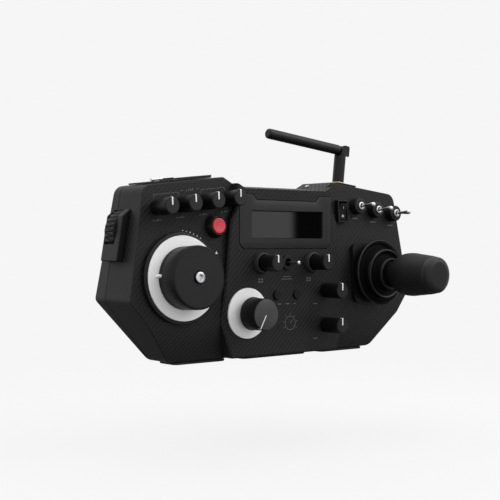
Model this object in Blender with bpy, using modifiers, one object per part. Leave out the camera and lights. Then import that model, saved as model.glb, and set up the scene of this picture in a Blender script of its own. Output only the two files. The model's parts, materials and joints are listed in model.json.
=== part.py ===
"""A console-style radio transmitter controller: two tilted control modules around an upright centre block.

Z is up, +X is the user's right and the front faces -Y. The origin is on the resting plane, under the middle
foot. Lengths in this file are millimetres, and the helpers turn them into metres.
"""

import math

import bmesh
import bpy
from mathutils import Matrix, Vector

MM = 0.001
GAP = 0.3  # between pieces that touch
WALL = 2.6
ROUND_STEPS = 24

# The case, seen from the front (X, Z).
WIDEST_X, WIDEST_Z = 159.8, 53.5
BOTTOM_X, BOTTOM_Z = 116.8, 2.5
SHOULDER_X, SHOULDER_Z = 144.0, 145.2
SUMMIT_X, SUMMIT_Z = 63.4, 154.4
NOTCH_X, NOTCH_Z = 46.0, 145.0  # where the facets beside the summits meet the top of the centre block
CHIN_Z = 34.0

# The case, from front to back (Y).
MODULE_Y = -30.0  # the modules' face at the height of the widest point
MODULE_TILT = math.radians(3.3)
CHIN_TILT = math.radians(21)
CENTRE_Y = -33.0
SEAM_Y = 6.0
BACK_Y = 21.8  # at the height of the widest point; from there it slopes forwards both ways
BACK_CHIN_TILT = math.radians(14.3)
HUMP_Y = 40.0

# Controls: where their axes meet the face that they stand on (X, Z).
FOCUS = (-111.2, 71.0)
IRIS = (-44.8, 40.5)
SPEED_MIDDLE, SPEED_PITCH, SPEED_SLOPE = (-97.5, 131.4), 23.15, math.radians(6.6)
RECORD = (-74.4, 113.3)
MENU_X, MENU_Z = 29.2, 82.5
ADJUST_X, ADJUST_Z = 45.9, (57.3, 26.5)
SELECT_X, SELECT_Z = 11.5, 54.5
ROCKER = (72.0, 128.0)
TOGGLES = ((91.5, 132.9), (114.8, 129.9), (138.7, 127.0))
STICK = (109.5, 71.5)
SCREEN_X, SCREEN_Z = 0.8, 114.9
SIDE_WHEEL_Z, SIDE_WHEEL_RADIUS, SIDE_WHEEL_WIDTH = 107.5, 19.6, 13.0
ANTENNA_X, ANTENNA_Y = 84.3, -10.0
ELBOW_OFFSET, ELBOW_HEIGHT, ARM_LENGTH = 2.6, 33.7, 93.6

# The pivots' heights above the face that they stand on, and how far the rocker leans at rest.
LEVER_PIVOT = -3.0
TOGGLE_PIVOT = 8.5
STICK_PIVOT = -8.0
ROCKER_PIVOT = 0.5
ROCKER_TILT = math.radians(10)

MODEL = "radio_transmitter_controller"


# Scene and materials


def clear_scene():
    for obj in list(bpy.data.objects):
        bpy.data.objects.remove(obj, do_unlink=True)


def new_collection(name):
    collection = bpy.data.collections.new(name)
    bpy.context.scene.collection.children.link(collection)
    return collection


def material(name, colour, roughness, metallic=0.0):
    made = bpy.data.materials.new(name)
    made.use_nodes = True
    shader = made.node_tree.nodes["Principled BSDF"]
    shader.inputs["Base Color"].default_value = (*colour, 1.0)
    shader.inputs["Roughness"].default_value = roughness
    shader.inputs["Metallic"].default_value = metallic
    return made


clear_scene()
PARTS = new_collection(MODEL)
CUTTERS = new_collection("cutters")

CARBON = material("carbon_shell", (0.035, 0.035, 0.037), 0.5)
GREY = material("grey_plastic", (0.06, 0.06, 0.062), 0.5)
BLACK = material("black_plastic", (0.015, 0.015, 0.016), 0.45)
WHITE = material("white_marking_disc", (0.9, 0.9, 0.9), 0.5)
RED = material("red_cap", (0.8, 0.08, 0.1), 0.4)
SILVER = material("bare_metal", (0.7, 0.7, 0.72), 0.3, 1.0)
BRASS = material("brass", (0.8, 0.6, 0.25), 0.3, 1.0)
RUBBER = material("black_rubber", (0.02, 0.02, 0.02), 0.8)
GLASS = material("screen_glass", (0.05, 0.05, 0.055), 0.1)
GREEN = material("circuit_board", (0.02, 0.14, 0.06), 0.5)
CELL = material("battery_wrap", (0.05, 0.07, 0.12), 0.5)


# Frames: local Z points away from the surface


def frame(origin, tilt=0.0, turn=0.0):
    """Local X to the right and local Z out of the front, leaning up by tilt; turn is about that Z."""
    lean = Matrix.Rotation(math.pi / 2 - tilt, 4, "X")
    return Matrix.Translation(origin) @ lean @ Matrix.Rotation(turn, 4, "Z")


def on_module(x, z, turn=0.0):
    return frame((x, MODULE_Y + (z - WIDEST_Z) * math.tan(MODULE_TILT), z), MODULE_TILT, turn)


def on_centre(x, z):
    return frame((x, CENTRE_Y, z))


def along_y(origin):
    """Local Z along +Y."""
    return Matrix.Translation(origin) @ Matrix.Rotation(-math.pi / 2, 4, "X")


def upright(origin):
    return Matrix.Translation(origin)


def front_view(y=0.0):
    """A frame on the plane Y = y whose local X and Y are the front view's X and Z."""
    return frame((0, y, 0))


SPEED_FRAME = on_module(*SPEED_MIDDLE, turn=SPEED_SLOPE)


def shifted(place, x, y, z=0.0):
    return place @ Matrix.Translation((x, y, z))


# Outlines in the plane


def fillet(before, corner, after, radius, segments=5):
    """The arc that rounds one corner of an outline."""
    corner = Vector(corner)
    towards = (Vector(before) - corner).normalized()
    onwards = (Vector(after) - corner).normalized()
    half = towards.angle(onwards) / 2
    centre = corner + (towards + onwards).normalized() * (radius / math.sin(half))
    start = corner + towards * (radius / math.tan(half)) - centre
    end = corner + onwards * (radius / math.tan(half)) - centre
    sweep = start.angle_signed(end)
    return [centre + Matrix.Rotation(-sweep * i / segments, 2) @ start for i in range(segments + 1)]


def rounded(corners, radii):
    points = []
    for i, corner in enumerate(corners):
        if radii[i]:
            points += fillet(corners[i - 1], corner, corners[(i + 1) % len(corners)], radii[i])
        else:
            points.append(Vector(corner))
    return points


def inset(points, distance):
    """The outline, which runs clockwise, moved inwards by distance."""
    moved = []
    for i, point in enumerate(points):
        before = (point - points[i - 1]).normalized()
        after = (points[(i + 1) % len(points)] - point).normalized()
        first, second = Vector((before.y, -before.x)), Vector((after.y, -after.x))
        moved.append(point + (first + second) * distance / (1 + first.dot(second)))
    return moved


def both_sides(half):
    """A clockwise outline from its right half, which runs from the top to the bottom."""
    return half + [(-x, z) for x, z in reversed(half)]


def facet_x(z):
    """X of the right facet's surface at height z."""
    return NOTCH_X + (z - NOTCH_Z) * (SUMMIT_X - NOTCH_X) / (SUMMIT_Z - NOTCH_Z)


def case_outline(notch_z=None):
    half = [(SUMMIT_X, SUMMIT_Z), (SHOULDER_X, SHOULDER_Z), (WIDEST_X, WIDEST_Z), (BOTTOM_X, BOTTOM_Z)]
    radii = [0, 9, 6, 10]
    if notch_z:
        half.insert(0, (facet_x(notch_z), notch_z))
        radii.insert(0, 0)
    return rounded(both_sides(half), radii + radii[::-1])


def block_outline():
    half = [(54.0, 151.0), (54.6, 131.0), (61.5, 117.0), (66.0, 76.0), (72.0, CHIN_Z), (61.0, 3.2)]
    return [Vector(point) for point in both_sides(half)]


def rectangle(width, height, radius=0.0, middle=(0.0, 0.0)):
    x, y = width / 2, height / 2
    corners = [(x, y), (x, -y), (-x, -y), (-x, y)]
    points = rounded(corners, [radius] * 4) if radius else [Vector(corner) for corner in corners]
    return [point + Vector(middle) for point in points]


def side_wall_x(z):
    """X of the left wall's outer face at height z."""
    lean = (WIDEST_X - SHOULDER_X) / (SHOULDER_Z - WIDEST_Z)
    return -(WIDEST_X - (z - WIDEST_Z) * lean)


# Solids


def finish(name, mesh, place, look):
    """The object of a mesh in millimetres, as a part with a look, or as a cutter without one."""
    bmesh.ops.recalc_face_normals(mesh, faces=mesh.faces)
    bmesh.ops.scale(mesh, vec=(MM, MM, MM), verts=mesh.verts)
    data = bpy.data.meshes.new(name)
    mesh.to_mesh(data)
    mesh.free()
    obj = bpy.data.objects.new(name, data)
    obj.matrix_world = Matrix.Translation(place.translation * MM) @ place.to_3x3().to_4x4()
    if look:
        data.materials.append(look)
        PARTS.objects.link(obj)
    else:
        CUTTERS.objects.link(obj)
        obj.hide_render = True
        obj.display_type = "WIRE"
    return obj


def prism(name, place, outline, bottom, top, look=None, top_outline=None, slices=()):
    """An outline raised from bottom to top, changing to top_outline, less what is beyond each slice."""
    mesh = bmesh.new()
    base = mesh.faces.new([mesh.verts.new((x, y, bottom)) for x, y in outline])
    corners = list(base.verts)
    raised = bmesh.ops.extrude_face_region(mesh, geom=[base])
    lifted = [item for item in raised["geom"] if isinstance(item, bmesh.types.BMVert)]
    for vertex in lifted:
        nearest = min(range(len(corners)), key=lambda i: (corners[i].co - vertex.co).length)
        x, y = (top_outline or outline)[nearest]
        vertex.co = (x, y, top)
    for point, normal in slices:
        geometry = mesh.verts[:] + mesh.edges[:] + mesh.faces[:]
        cut_edges = bmesh.ops.bisect_plane(
            mesh, geom=geometry, plane_co=point, plane_no=normal, clear_outer=True
        )["geom_cut"]
        rim = [item for item in cut_edges if isinstance(item, bmesh.types.BMEdge)]
        bmesh.ops.contextual_create(mesh, geom=rim)
    if top_outline:
        bmesh.ops.triangulate(mesh, faces=mesh.faces)
    return finish(name, mesh, place, look)


def box(name, place, low, high, look=None):
    low, high = Vector(low), Vector(high)
    mesh = bmesh.new()
    bmesh.ops.create_cube(mesh, size=1.0, matrix=Matrix.Translation((low + high) / 2))
    for vertex in mesh.verts:
        for axis in range(3):
            vertex.co[axis] = (high if vertex.co[axis] > (low + high)[axis] / 2 else low)[axis]
    return finish(name, mesh, place, look)


def cylinder(name, place, radius, bottom, top, look=None, steps=24):
    mesh = bmesh.new()
    middle = Matrix.Translation((0, 0, (bottom + top) / 2))
    bmesh.ops.create_cone(
        mesh, cap_ends=True, segments=steps, radius1=radius, radius2=radius, depth=top - bottom, matrix=middle
    )
    return finish(name, mesh, place, look)


def turned(name, place, profile, look=None, steps=ROUND_STEPS):
    """A profile of (radius, height) from the top down its outer side, turned about local Z."""
    closed = profile[0][0] > 0
    mesh = bmesh.new()
    points = [mesh.verts.new((radius, 0, height)) for radius, height in profile]
    for first, second in zip(points, points[1:] + points[:1] if closed else points[1:]):
        mesh.edges.new((first, second))
    obj = finish(name, mesh, place, look)
    screw = obj.modifiers.new("Turn", "SCREW")
    screw.axis = "Z"
    screw.steps = screw.render_steps = steps
    screw.use_merge_vertices = True
    screw.merge_threshold = 0.00005
    screw.use_smooth_shade = True
    return obj


def ring(name, place, inner, outer, bottom, top, look, steps=ROUND_STEPS):
    profile = [(inner, top), (outer, top), (outer, bottom), (inner, bottom)]
    return turned(name, place, profile, look, steps)


def combine(obj, other, operation):
    modifier = obj.modifiers.new(other.name, "BOOLEAN")
    modifier.operation = operation
    modifier.object = other
    return obj


def cut(obj, *cutters):
    for cutter in cutters:
        combine(obj, cutter, "DIFFERENCE")
    return obj


def join(obj, *others):
    """One solid from overlapping ones, which are kept as guides."""
    for other in others:
        combine(obj, other, "UNION")
    return obj


def bevel(obj, width, segments=1, angle=35):
    modifier = obj.modifiers.new("Edges", "BEVEL")
    modifier.width = width * MM
    modifier.segments = segments
    modifier.limit_method = "ANGLE"
    modifier.angle_limit = math.radians(angle)
    return obj


# The case


def module_slices(depth):
    """Planes that trim the case's front: the modules' tilted face and their chin, both moved in by depth."""
    face_y = -MODULE_Y - depth / math.cos(MODULE_TILT)
    face = ((0, WIDEST_Z, face_y), (0, math.sin(MODULE_TILT), math.cos(MODULE_TILT)))
    chin_out = -MODULE_Y + (WIDEST_Z - CHIN_Z) * math.tan(MODULE_TILT) - depth / math.cos(CHIN_TILT)
    chin = ((0, CHIN_Z, chin_out), (0, -math.sin(CHIN_TILT), math.cos(CHIN_TILT)))
    return face, chin


def make_front_case():
    case = prism("front_case", front_view(), case_outline(), -SEAM_Y - 6, 40, CARBON, slices=module_slices(0))
    bevel(case, 0.9, 2)
    block = prism("block_guide", front_view(), block_outline(), 18, -CENTRE_Y)
    join(case, bevel(block, 1.4))
    rise = math.radians(5.4)
    above = ((0, 145.4, -CENTRE_Y), (0, -math.cos(rise), -math.sin(rise)))
    low, high = 142.5, 156.0
    notch = [(facet_x(z), z) for z in (high, low)] + [(-facet_x(z), z) for z in (low, high)]
    cut(
        case,
        prism("notch_cutter", front_view(), notch, -SEAM_Y - 8, 44, slices=[above]),
        box("seam_cutter", upright((0, SEAM_Y, 0)), (-200, 0, -20), (200, 14, 180)),
    )
    hollow = inset(case_outline(notch_z=143.6), WALL)
    cavity = prism("cavity_cutter", front_view(), hollow, -SEAM_Y - 2, 40, slices=module_slices(3.0))
    low_block = [(58.0, 90.0), (62.5, 76.0), (68.0, CHIN_Z), (57.5, 6.5)]
    pocket = prism("block_cavity_cutter", front_view(), both_sides(low_block), 10, -CENTRE_Y - 3)
    cut(case, cavity, pocket)
    cut_front_openings(case)
    return case


def cut_front_openings(case):
    """The holes that the controls, the screen, the side wheel and the antenna need."""
    round_holes = [(on_module(*FOCUS), 6.5), (on_module(*RECORD), 8.4), (on_centre(*IRIS), 5.4)]
    round_holes += [(shifted(SPEED_FRAME, x, 0), 3.9) for x in speed_places()]
    round_holes += [(on_module(*place), 4.0) for place in TOGGLES]
    round_holes += [(on_centre(side * MENU_X, MENU_Z), 3.6) for side in (-1, 1)]
    round_holes += [(on_centre(ADJUST_X, z), 3.6) for z in ADJUST_Z]
    round_holes += [(on_centre(side * SELECT_X, SELECT_Z), 4.35) for side in (-1, 1)]
    round_holes.append((on_centre(0, MENU_Z), 5.0))
    for number, (place, radius) in enumerate(round_holes):
        cut(case, cylinder(f"control_hole_{number}", place, radius, -8, 6, steps=14))
    screen = on_centre(SCREEN_X, SCREEN_Z)
    cut(
        case,
        box("rocker_hole", on_module(*ROCKER), (-6.1, -9.5, -8), (6.1, 9.5, 6)),
        box("stick_hole", on_module(*STICK), (-23.5, -23.5, -8), (23.5, 23.5, 6)),
        prism("bezel_pocket", screen, bezel_outline(0.5), -3.2, 6),
        box("screen_hole", screen, (-43, -14.5, -16), (43, 14.5, 4)),
        side_wheel_slot("case_wheel_slot"),
        cylinder("antenna_hole", antenna_frame(), 3.7, -8, 4, steps=16),
    )


def back_slices(depth):
    """Planes that trim the case's back, moved in by depth."""
    back = SEAM_Y + GAP - BACK_Y
    upper = ((0, WIDEST_Z, back + depth / math.cos(MODULE_TILT)), (0, math.sin(MODULE_TILT), -math.cos(MODULE_TILT)))
    chin_back = back + depth / math.cos(BACK_CHIN_TILT)
    chin = ((0, WIDEST_Z, chin_back), (0, -math.sin(BACK_CHIN_TILT), -math.cos(BACK_CHIN_TILT)))
    return upper, chin


def make_rear_case():
    outline = case_outline(notch_z=149.1)
    lid_place = front_view(SEAM_Y + GAP)
    lid = prism("rear_case", lid_place, outline, 0, -18, GREY, slices=back_slices(0))
    bevel(lid, 0.9)
    hump = rectangle(122, 78, 8, (0, 70))
    depth = HUMP_Y - SEAM_Y
    join(lid, prism("hump_guide", lid_place, hump, -6, -depth, top_outline=inset(hump, 5)))
    room = rectangle(106, 62, 4, (0, 70))
    cut(
        lid,
        prism("lid_cavity", lid_place, inset(outline, WALL), -18, 2, slices=back_slices(WALL)),
        prism("battery_bay", lid_place, room, 4, -depth - 4),
        side_wheel_slot("lid_wheel_slot"),
    )
    return lid


def make_battery():
    box("battery_pack", upright((0, 0, 70)), (-50, 19.5, -28), (50, 36.5, 28), CELL)
    outline = rectangle(110, 66, 5, (0, 70))
    door = prism("battery_door", front_view(HUMP_Y + 2 * GAP), outline, -2.2, 0, RUBBER)
    ridges = []
    for i in range(3):
        place = upright((36 + 4 * i, HUMP_Y + 2.5, 70))
        ridges.append(box(f"door_ridge_{i}", place, (-0.8, 0, -18), (0.8, 1.4, 18)))
    join(door, *ridges)
    box("main_board", upright((0, 6, 80)), (-98, 0, -46), (98, 1.6, 46), GREEN)


def make_feet():
    front = -18.5
    depth = SEAM_Y - front
    for name, x, width in (("left", -82, 54), ("centre", 0, 74), ("right", 82, 54)):
        outline = rectangle(width, depth, 5)
        foot = prism(f"foot_{name}", upright((x, front + depth / 2, 0)), outline, 0, BOTTOM_Z - GAP, RUBBER)
        bevel(foot, 0.6, angle=60)


# The screen


def bezel_outline(clearance=0.0):
    """The bezel's outline about the screen's middle, with a wide notch in its top."""
    x, bottom, top, chamfer = 52.8 + clearance, -20.2 - clearance, 25.5 + clearance, 4.6
    notch, slant, floor = 34.0 - clearance, 4.4, 20.8 + clearance
    half = [(notch, floor), (notch + slant, top), (x, top), (x, bottom + chamfer), (x - chamfer, bottom)]
    return [Vector((a - SCREEN_X, b)) for a, b in both_sides(half)]


def make_screen():
    place = on_centre(SCREEN_X, SCREEN_Z)
    outline = bezel_outline()
    bezel = prism("screen_bezel", place, outline, -2.9, 0.3, GREY)
    crown = prism("bezel_crown_guide", place, outline, 0.1, 1.3, top_outline=inset(outline, 4.4))
    join(bezel, crown)
    cut(bezel, box("bezel_window", place, (-41, -11.8, -6), (41, 11.8, 4)))
    box("screen_glass", place, (-40.6, -11.4, -1.9), (40.6, 11.4, -0.7), GLASS)
    box("display_module", place, (-42, -13.5, -9.0), (42, 13.5, -3.5), BLACK)


# Knobs and their sensors


def knob(name, place, radius, bottom, top, bore, bore_top, look=BLACK, steps=ROUND_STEPS):
    edge = 0.08 * radius
    profile = [
        (0, top),
        (radius - edge, top),
        (radius, top - edge),
        (radius, bottom),
        (bore, bottom),
        (bore, bore_top),
        (0, bore_top),
    ]
    return turned(name, place, profile, look, steps)


def make_focus():
    place = on_module(*FOCUS)
    ring("focus_drum", place, 12, 37.2, GAP, 4.0, BLACK, 36)
    ring("focus_marking_ring", place, 12, 34.3, 4.3, 5.6, WHITE, 36)
    sensor = [(0, 17), (3, 17), (3, 9), (6, 9), (6, -3.3), (14, -3.3), (14, -25), (0, -25)]
    turned("focus_sensor", place, sensor, SILVER, 16)
    wheel = [
        (0, 24.4),
        (5.3, 24.4),
        (5.3, 25.6),
        (23.4, 25.6),
        (24.8, 24.4),
        (25.4, 22),
        (25.4, 6.2),
        (6.6, 6.2),
        (6.6, 10.5),
        (3.4, 10.5),
        (3.4, 18.5),
        (0, 18.5),
    ]
    turned("focus_knob", place, wheel, BLACK, 28)
    screw = [(0, 25.6), (2, 25.6), (2.4, 27.4), (4.2, 27.4), (4.9, 26.8), (4.9, 24.8), (0, 24.8)]
    turned("focus_knob_screw", place, screw, SILVER, 16)


def make_iris():
    place = on_centre(*IRIS)
    ring("iris_marking_ring", place, 6.5, 21.2, GAP, 1.7, WHITE, 28)
    sensor = [(0, 18), (3, 18), (3, 3.5), (5, 3.5), (5, -3.3), (12, -3.3), (12, -24), (0, -24)]
    turned("iris_sensor", place, sensor, SILVER, 16)
    body = [
        (0, 25),
        (12.5, 25),
        (13.2, 24.2),
        (13.4, 9.4),
        (13.9, 8.8),
        (13.9, 7.4),
        (3.4, 7.4),
        (3.4, 19.5),
        (0, 19.5),
    ]
    turned("iris_knob", place, body, BLACK, 24)


def speed_places():
    """Where the four speed controls stand along their sloping row."""
    return [(i - 1.5) * SPEED_PITCH for i in range(4)]


def make_speed_controls():
    board = box("speed_pot_board", SPEED_FRAME, (-40.5, -7.0, -13.6), (39.5, 7.0, -12), GREEN)
    for number, x in enumerate(speed_places(), start=1):
        place = shifted(SPEED_FRAME, x, 0)
        pot = [(0, 16), (2.5, 16), (2.5, 4.6), (5.8, 4.6), (5.8, GAP), (3.5, GAP), (3.5, -3.3), (6.5, -3.3)]
        pot += [(6.5, -12.8), (0, -12.8)]
        join(board, turned(f"speed_pot_guide_{number}", place, pot, steps=14))
        knob(f"speed_knob_{number}", place, 6.8, 5.2, 22.0, 2.9, 17.0, steps=18)


def make_centre_controls():
    """The board behind the centre block with its encoders, pots and switches, and what they carry."""
    back, front = -13.6, -12.0
    board = box("control_board", on_centre(0, 53), (-60, -39, back), (60, 38, front), GREEN)
    cut(board, cylinder("iris_sensor_clearance", on_centre(*IRIS), 12.8, back - 2, front + 2, steps=24))
    turned_controls = [
        ("menu", "left", on_centre(-MENU_X, MENU_Z)),
        ("menu", "right", on_centre(MENU_X, MENU_Z)),
        ("adjust", "upper", on_centre(ADJUST_X, ADJUST_Z[0])),
        ("adjust", "lower", on_centre(ADJUST_X, ADJUST_Z[1])),
    ]
    for kind, side, place in turned_controls:
        pot = [(0, 16), (3, 16), (3, -3.3), (6.5, -3.3), (6.5, front - 0.8), (0, front - 0.8)]
        join(board, turned(f"{kind}_pot_guide_{side}", place, pot, steps=14))
        knob(f"{kind}_knob_{side}", place, 6.8, 1.2, 22.3, 3.4, 17.0, steps=18)
    for side, x in (("left", -MENU_X), ("right", MENU_X)):
        collar = [(7.4, 5.0), (8.5, 5.0), (9.4, 1.6), (9.4, GAP), (7.4, GAP)]
        turned(f"menu_collar_{side}", on_centre(x, MENU_Z), collar, GREY, 20)
    for side, x in (("left", -SELECT_X), ("right", SELECT_X)):
        place = on_centre(x, SELECT_Z)
        join(board, cylinder(f"tact_guide_{side}", place, 3, -12.6, -9.8, steps=12))
        cap = [(0, 1.8), (3.5, 1.8), (4, 1.3), (4, -6.4), (5, -6.4), (5, -8.4), (0, -8.4)]
        turned(f"select_button_{side}", place, cap, BLACK, 24)
    socket = [(0, -9.0), (3.6, -9.0), (3.6, 2.2), (6.0, 2.2), (6.3, 1.9), (6.3, GAP), (4.6, GAP)]
    socket += [(4.6, -11.4), (0, -11.4)]
    turned("menu_lever_socket", on_centre(0, MENU_Z), socket, BLACK, 20)
    lever = [(0, 19.5), (1.2, 19.2), (1.7, 18.2), (1.5, -2), (2.2, -3), (1.5, -5.5), (0, -6)]
    turned("menu_lever", shifted(on_centre(0, MENU_Z), 0, 0, LEVER_PIVOT), lever, SILVER, 16)


# Buttons and switches


def make_record_button():
    place = on_module(*RECORD)
    housing = [
        (0, -9.5),
        (6.9, -9.5),
        (6.9, 6.4),
        (7.9, 6.8),
        (8.3, 6.2),
        (9.8, 1.6),
        (9.8, GAP),
        (8, GAP),
        (8, -11.5),
        (0, -11.5),
    ]
    turned("record_button_housing", place, housing, BLACK, 20)
    cap = [(0, 6.4), (2.2, 6.4), (3.4, 6.8), (5.6, 7.0), (6.5, 6.5), (6.5, -6.5), (0, -6.5)]
    turned("record_button", place, cap, RED, 20)


def make_power_switch():
    place = on_module(*ROCKER)
    body = box("power_switch_frame", place, (-6.5, -10, GAP), (6.5, 10, 4.5), BLACK)
    join(body, box("rocker_body_guide", place, (-5.8, -9.2, -13), (5.8, 9.2, 1.0)))
    cut(body, box("rocker_room", place, (-5.0, -8.7, -11), (5.0, 8.7, 6)))
    half, middle, end, back = 7.4, 2.9, 4.2, -2.5
    section = [(half, back), (-half, back), (-half, end), (0, middle), (half, end)]
    pivot = shifted(place, 0, 0, ROCKER_PIVOT) @ Matrix.Rotation(ROCKER_TILT, 4, "X")
    sideways = pivot @ Matrix(((0, 0, 1, 0), (1, 0, 0, 0), (0, 1, 0, 0), (0, 0, 0, 1)))
    prism("power_switch_rocker", sideways, section, -4.6, 4.6, BLACK)


def make_toggle(number, place):
    body = turned(
        f"toggle_switch_{number}",
        place,
        [
            (0, 5.5),
            (2.8, 5.5),
            (2.8, 9.3),
            (3.5, 9.3),
            (3.9, 8.9),
            (3.9, 8.0),
            (6.9, 8.0),
            (7.4, 7.4),
            (7.4, GAP),
            (3.65, GAP),
            (3.65, -4),
            (0, -4),
        ],
        SILVER,
        20,
    )
    join(body, box(f"toggle_body_guide_{number}", place, (-4, -6.5, -15.5), (4, 6.5, -3.3)))
    lever = [(0, 16.9), (1.6, 16.6), (2.4, 15.4), (2.5, 13.5), (1.4, 4.0), (1.3, -1.5), (0, -1.5)]
    turned(f"toggle_lever_{number}", shifted(place, 0, 0, TOGGLE_PIVOT), lever, SILVER, 16)


# The joystick: base, yoke, shaft, boot and handle, with its pivot behind the panel


def make_joystick():
    """The stick stands level, so at rest it leans a little down from the panel's normal."""
    place = on_module(*STICK)
    pivot = frame(shifted(place, 0, 0, STICK_PIVOT).translation)
    stick = shifted(pivot, 0, 0, -STICK_PIVOT)
    sideways = pivot @ Matrix.Rotation(math.pi / 2, 4, "Y")
    base = prism("joystick_base", place, rectangle(54, 54, 6), GAP, 4.0, BLACK)
    join(base, box("stick_case_guide", place, (-23, -23, -30), (23, 23, 1.0)))
    cut(
        base,
        box("stick_room", place, (-21, -21, -28), (21, 21, -1.5)),
        cylinder("stick_mouth", place, 21, -6, 8, steps=24),
        cylinder("trunnion_holes", sideways, 2.4, -30, 30, steps=16),
    )
    yoke = box("joystick_yoke", pivot, (-15, -15, -3), (15, 15, 3), SILVER)
    join(yoke, cylinder("trunnion_guide", sideways, 2.0, -22.6, 22.6, steps=16))
    across = pivot @ Matrix.Rotation(math.pi / 2, 4, "X")
    cut(
        yoke,
        box("yoke_window", pivot, (-11, -11, -6), (11, 11, 6)),
        cylinder("cross_pin_holes", across, 2.2, -20, 20, steps=16),
    )
    shaft = cylinder("joystick_shaft", pivot, 3.8, -12, 70, SILVER, steps=16)
    join(shaft, cylinder("cross_pin_guide", across, 1.8, -14.6, 14.6, steps=16))
    boot = [(22, 13), (26, 13), (30, 11.2), (30, 9), (26.2, 4.3), (22, 4.3)]
    turned("joystick_boot", place, boot, RUBBER)
    neck = [(4.1, 27.6), (12, 27.6), (14, 26.5), (11, 22), (4.1, 22)]
    turned("joystick_boot_neck", stick, neck, RUBBER, 24)
    handle = [
        (0, 74.4),
        (16.2, 74.4),
        (17.1, 73.4),
        (17.6, 69),
        (18.4, 61),
        (19.2, 55),
        (19.3, 50.5),
        (18.7, 45),
        (17.2, 40),
        (14.5, 35.5),
        (11.2, 30),
        (9.8, 28),
        (4.2, 28),
        (4.2, 68),
        (0, 68),
    ]
    turned("joystick_handle", stick, handle, BLACK)
    cap = [(0, 82.6), (10, 82.4), (12.8, 81.8), (15.3, 80.6), (15.9, 79.5), (16.2, 76.5), (16.2, 74.7), (0, 74.7)]
    turned("joystick_cap", stick, cap, GREY)


# The thumb wheel on the left wall


def side_wheel_centre():
    return (side_wall_x(SIDE_WHEEL_Z) + 10.1, 1.7, SIDE_WHEEL_Z)


def side_wheel_slot(name):
    half = SIDE_WHEEL_WIDTH / 2 + 0.8
    return cylinder(name, along_y(side_wheel_centre()), SIDE_WHEEL_RADIUS + 0.8, -half, half, steps=28)


def make_side_wheel():
    outline = [
        (side_wall_x(84.5) - GAP, 84.5),
        (side_wall_x(85.2) - 6.6, 85.2),
        (side_wall_x(121) - 6.6, 121),
        (side_wall_x(127) - GAP, 127),
    ]
    guard = prism("side_wheel_guard", front_view(), outline, -11, 12, BLACK)
    cut(bevel(guard, 0.6), side_wheel_slot("guard_wheel_slot"))
    half, radius = SIDE_WHEEL_WIDTH / 2, SIDE_WHEEL_RADIUS
    wheel = [(0, 11), (2, 11), (2, half), (radius - 1, half), (radius, half - 1), (radius, 1 - half)]
    wheel += [(radius - 1, -half), (0, -half)]
    place = along_y(side_wheel_centre())
    turned("side_wheel", place, wheel, BLACK, 28)
    pot = [(0, 13.6), (5.4, 13.6), (5.4, 6.8), (2.4, 6.8), (2.4, 11.6), (0, 11.6)]
    turned("side_wheel_pot", place, pot, SILVER, 16)


# The antenna and its bracket, and the plate on the left module


def module_top_z(x):
    """Height of a module's top face at x."""
    fall = (SUMMIT_Z - SHOULDER_Z) / (SHOULDER_X - SUMMIT_X)
    return SUMMIT_Z - (abs(x) - SUMMIT_X) * fall


def top_frame(x, y):
    """A frame on a module's sloping top whose local Z is square to it and local X points right."""
    slope = math.atan2(SUMMIT_Z - SHOULDER_Z, SHOULDER_X - SUMMIT_X)
    return upright((x, y, module_top_z(x))) @ Matrix.Rotation(math.copysign(slope, x), 4, "Y")


def antenna_frame():
    return top_frame(ANTENNA_X, ANTENNA_Y)


def make_antenna():
    stand = antenna_frame()
    bracket = prism("antenna_bracket", stand, rectangle(24, 26, 2), GAP, 1.6, BLACK)
    cut(bracket, cylinder("bracket_hole", stand, 3.7, -4, 6, steps=16))
    connector = [(0, 11.6), (3.1, 11.6), (3.1, 3.7), (5.4, 3.7), (5.4, 1.6 + GAP), (3.3, 1.6 + GAP)]
    connector += [(3.3, -9), (0, -9)]
    turned("antenna_connector", stand, connector, BRASS, 18)
    mast = [(0, 31.5), (5.4, 31.5), (5.4, 4.0), (3.5, 4.0), (3.5, 12.6), (0, 12.6)]
    base = turned("antenna_base", stand, mast, BLACK, 24)
    elbow = shifted(stand, ELBOW_OFFSET, 0, ELBOW_HEIGHT)
    across = elbow @ Matrix.Rotation(math.pi / 2, 4, "X")
    shoulder = [Vector(point) for point in ((0, 4.7), (3.6, 4.7), (4.9, 3.4), (4.9, -4.9), (0, -4.9))]
    join(
        base,
        cylinder("knuckle_guide", across, 4.9, -4.4, 4.4, steps=24),
        prism("knuckle_shoulder_guide", across, shoulder, -4.4, 4.4),
    )
    cut(
        base,
        box("fork_slot", elbow, (-14, -2.0, -5.8), (9, 2.0, 9)),
        box("arm_room", elbow, (-14, -7, -5.8), (-5.6, 7, 9)),
    )
    join(base, cylinder("elbow_pin_guide", across, 1.2, -4.0, 4.0, steps=12))
    rod = [(0, ARM_LENGTH), (3.2, ARM_LENGTH), (4.3, ARM_LENGTH - 1.0), (4.6, ARM_LENGTH - 2.6)]
    rod += [(4.6, 6.9), (4.2, 6.3), (0, 6.3)]
    arm = turned("antenna_arm", elbow @ Matrix.Rotation(-math.pi / 2, 4, "Y"), rod, BLACK, 24)
    join(
        arm,
        box("arm_neck_guide", elbow, (-7.5, -1.7, -3.2), (0, 1.7, 3.2)),
        cylinder("arm_eye_guide", across, 4.4, -1.7, 1.7, steps=16),
    )
    cut(arm, cylinder("arm_eye_hole", across, 1.6, -6, 6, steps=12))


def make_top_plate():
    """A thin accessory plate with a lug and a raised end, on the left module's top."""
    place = top_frame(-105.0, -7)
    plate = prism("left_top_plate", place, rectangle(66, 28, 3), GAP, 1.7, BLACK)
    join(
        plate,
        box("plate_lug_guide", place, (-7.0, -3, 1.0), (1.5, 3, 3.4)),
        box("plate_step_guide", place, (6.0, -13.5, 1.0), (32.5, 13.5, 2.7)),
    )


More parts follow.
